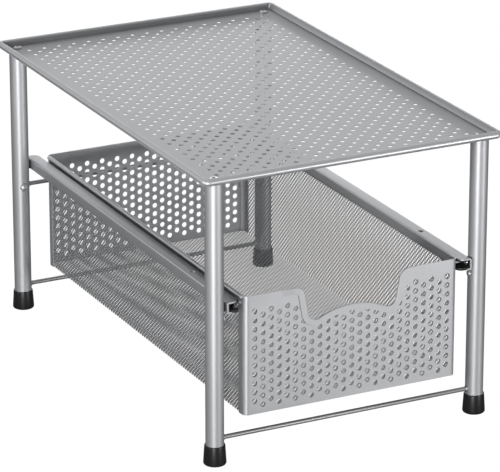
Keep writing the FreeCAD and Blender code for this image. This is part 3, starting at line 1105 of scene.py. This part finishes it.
class ORGANIZER_OT_screws(SceneOperator, bpy.types.Operator):
    """Make the cross-head screws of the shelf and the legs, and the rail rivets"""

    bl_idname = "organizer.screws"
    bl_label = "Screws and rivets"

    def execute(self, context):
        sizes = context.scene.organizer_rails
        zinc = self.finish(context, "zinc")
        silver = self.finish(context, "frame_silver")
        top_z = SHELF_LOW.z + context.scene.organizer_shelf.sheet
        make_piece("shelf_screws", self.shelf_screws(sizes, top_z), zinc, "frame")
        make_piece("leg_screws", self.leg_screws(sizes), silver, "frame")
        make_piece("rail_rivets", self.rail_rivets(sizes), zinc, "frame")
        return {"FINISHED"}

    def shelf_screws(self, sizes, top_z):
        """A screw over each leg, each turned differently."""
        shape = Shape()
        head = self.pan_head(sizes.screw_d / 2, sizes.screw_h)
        for i, (sx, sy) in enumerate(CORNERS.values()):
            turn = Matrix.Rotation(0.5 + 0.7 * i, 4, "Z")
            shape.join(head, Matrix.Translation((sx * LEG_X, sy * LEG_Y, top_z)) @ turn)
        return shape

    def leg_screws(self, sizes):
        """Tall screws at the high rod on the rear legs, small ones under the rails on the front legs."""
        shape = Shape()
        rod_low, rod_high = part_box("rear_high_rod")
        rod_z = (rod_low.z + rod_high.z) / 2
        tall = self.pan_head(sizes.screw_d / 2, 1.5 * sizes.screw_h)
        tall_y = LEG_Y - LEG_R + 0.3 * MM
        small = self.pan_head(2.8 * MM, 1.7 * MM)
        small_x = LEG_X - LEG_R + 0.2 * MM
        small_z = RAIL_LOW.z - 5.8 * MM
        for sx in SIDES.values():
            forward = Matrix.Rotation(QUARTER, 4, "X") @ Matrix.Rotation(0.4 + sx, 4, "Z")
            shape.join(tall, Matrix.Translation((sx * LEG_X, tall_y, rod_z)) @ forward)
        for sx in SIDES.values():
            inward = Matrix.Rotation(-sx * QUARTER, 4, "Y")
            shape.join(small, Matrix.Translation((sx * small_x, -LEG_Y, small_z)) @ inward)
        return shape

    @staticmethod
    def rail_rivets(sizes):
        """A rivet head inside each rail at each leg; the front ones are on the liners."""
        shape = Shape()
        rivet = turned([(radius * MM, height * MM) for radius, height in RIVET], RIVET_SIDES)
        web_z = (RAIL_LOW.z + RAIL_HIGH.z) / 2
        rear_x = RAIL_HIGH.x - sizes.rail_t
        front_x = LINER_HIGH.x - 1.0 * MM
        for sx in SIDES.values():
            inward = Matrix.Rotation(-sx * QUARTER, 4, "Y")
            for x, y in ((front_x, -LEG_Y), (rear_x, LEG_Y)):
                shape.join(rivet, Matrix.Translation((sx * x, y, web_z)) @ inward)
        return shape

    @staticmethod
    def pan_head(radius, height):
        """A low domed head with a cross recess, standing on Z = 0."""
        slot_w, slot_l, slot_d = 0.13 * radius, 0.55 * radius, 0.55 * height
        crown = []
        for a, b in ((1, 0), (0, 1), (-1, 0), (0, -1)):
            crown += [(a * slot_l + b * slot_w, b * slot_l - a * slot_w),
                      (a * slot_l - b * slot_w, b * slot_l + a * slot_w),
                      (a * slot_w - b * slot_w, b * slot_w + a * slot_w)]
        shoulder, fall = 0.86 * radius, 0.3 * height
        narrowing = 0.8
        loops = [circle(0, 0, shoulder, HEAD_SIDES), crown]

        def dome(x, y):
            return height - fall * (math.hypot(x, y) / shoulder) ** 2

        shape = Shape()
        top = shape.take((x, y, dome(x, y)) for x, y in loops[0] + crown)
        for a, b, c in flat_triangles(loops, []):
            shape.face((top[a], top[b], top[c]))
        floor = shape.take((x * narrowing, y * narrowing, height - slot_d) for x, y in crown)
        shape.wall(top[HEAD_SIDES:], floor)
        shape.face(floor)
        outside = circle(0, 0, radius, HEAD_SIDES)
        rim, foot = (shape.take((x, y, z) for x, y in outside) for z in (0.35 * height, 0.0))
        shape.wall(top[:HEAD_SIDES], rim)
        shape.wall(rim, foot)
        shape.face(foot)
        return shape


class ORGANIZER_OT_stage(SceneOperator, bpy.types.Operator):
    """Set the floor, the lamps, the background and the camera"""

    bl_idname = "organizer.stage"
    bl_label = "Stage"

    def execute(self, context):
        scene = context.scene
        scene.view_settings.view_transform = "Standard"
        self.floor(scene)
        self.background(scene)
        self.lamps(scene)
        self.camera(scene)
        return {"FINISHED"}

    @staticmethod
    def seen(shader, mirrored):
        """1 for rays from the camera or through the object, and the mirrored share for reflections."""
        camera, glossy, through = (
            shader.node("ShaderNodeLightPath", output=name)
            for name in ("Is Camera Ray", "Is Glossy Ray", "Is Transmission Ray"))
        return camera.maths("MAXIMUM", camera.maths("MAXIMUM", camera, glossy * mirrored), through)

    def floor(self, scene):
        mesh = bpy.data.meshes.new("floor")
        corners = [(x * FLOOR_HALF, y * FLOOR_HALF, 0) for x, y in ((-1, -1), (1, -1), (1, 1), (-1, 1))]
        mesh.from_pydata(corners, [], [(0, 1, 2, 3)])
        floor = bpy.data.objects.new("floor", mesh)
        scene.collection.objects.link(floor)
        material = new_material("floor_white")
        shader = Shader(material)
        tone = (*scene.organizer_finishes.floor, 1.0)
        paint = shader.node("ShaderNodeBsdfDiffuse", {}, {"Color": tone})
        white = shader.node("ShaderNodeEmission", {}, {"Color": WHITE, "Strength": FLOOR_GLOW})
        shown = self.seen(shader, FLOOR_MIRRORED) * FLOOR_SHOWN
        shader.surface(shader.node("ShaderNodeMixShader", {}, {0: shown, 1: paint, 2: white}))
        mesh.materials.append(material)

    def background(self, scene):
        world = bpy.data.worlds.get("studio") or bpy.data.worlds.new("studio")
        scene.world = world
        shader = Shader(world)
        room = shader.node("ShaderNodeBackground", {}, {"Color": WHITE, "Strength": ROOM_LIGHT})
        white = shader.node("ShaderNodeBackground", {}, {"Color": WHITE, "Strength": 1.0})
        direction = shader.node("ShaderNodeTexCoord", output="Generated")
        rearward = shader.node("ShaderNodeSeparateXYZ", {}, {0: direction}, "Y")
        shown = self.seen(shader, rearward * REAR_MIRRORED + ROOM_MIRRORED)
        mixed = shader.node("ShaderNodeMixShader", {}, {0: shown, 1: room, 2: white})
        shader.node("ShaderNodeOutputWorld", {}, {"Surface": mixed})

    @staticmethod
    def lamps(scene):
        for name, (place, width, height, power) in LAMPS.items():
            data = bpy.data.lights.new(name, "AREA")
            data.shape = "RECTANGLE"
            data.size = width
            data.size_y = height
            data.energy = power
            lamp = bpy.data.objects.new(name, data)
            lamp.location = place
            lamp.rotation_euler = (LAMP_TARGET - Vector(place)).to_track_quat("-Z", "Y").to_euler()
            scene.collection.objects.link(lamp)

    @staticmethod
    def camera(scene):
        """The camera at the photograph's viewing angle."""
        azimuth, elevation = math.radians(-26.709), math.radians(20.258)
        distance, aside, upward = 3.2859, 0.008655, -0.006636
        data = bpy.data.cameras.new("camera")
        data.lens = 262.27
        data.sensor_width = 36.0
        camera = bpy.data.objects.new("camera", data)
        camera.rotation_euler = (QUARTER - elevation, 0, azimuth)
        axes = camera.rotation_euler.to_matrix()
        centre = Vector((0, 0, 0.125))
        camera.location = centre + axes @ Vector((aside, upward, distance))
        scene.collection.objects.link(camera)
        scene.camera = camera


class ORGANIZER_PT_pieces(bpy.types.Panel):
    """The organizer's pieces and sizes"""

    bl_idname = "ORGANIZER_PT_pieces"
    bl_label = "Under sink organizer"
    bl_space_type = "VIEW_3D"
    bl_region_type = "UI"
    bl_category = "Organizer"

    def draw(self, context):
        for group in GROUPS:
            sizes = getattr(context.scene, group)
            box = self.layout.box()
            for key in sizes.__annotations__:
                box.prop(sizes, key)
        for operator in OPERATORS:
            self.layout.operator(operator.bl_idname)


GROUPS = {
    "organizer_shelf": ShelfSizes,
    "organizer_drawer": DrawerSizes,
    "organizer_scoop": ScoopSizes,
    "organizer_rails": RailSizes,
    "organizer_finishes": Finishes,
}
OPERATORS = (
    ORGANIZER_OT_stage,
    ORGANIZER_OT_shelf,
    ORGANIZER_OT_legs,
    ORGANIZER_OT_feet,
    ORGANIZER_OT_rods,
    ORGANIZER_OT_rails,
    ORGANIZER_OT_rail_plastics,
    ORGANIZER_OT_runners,
    ORGANIZER_OT_drawer_front,
    ORGANIZER_OT_drawer_back,
    ORGANIZER_OT_drawer_mesh,
    ORGANIZER_OT_screws,
)


def register():
    for kind in (*GROUPS.values(), *OPERATORS, ORGANIZER_PT_pieces):
        bpy.utils.register_class(kind)
    for name, group in GROUPS.items():
        setattr(bpy.types.Scene, name, bpy.props.PointerProperty(type=group))


def unregister():
    for name in GROUPS:
        delattr(bpy.types.Scene, name)
    for kind in (ORGANIZER_PT_pieces, *reversed(OPERATORS), *GROUPS.values()):
        bpy.utils.unregister_class(kind)


def main():
    register()
    for operator in OPERATORS:
        family, name = operator.bl_idname.split(".")
        getattr(getattr(bpy.ops, family), name)()


if __name__ == "__main__":
    main()
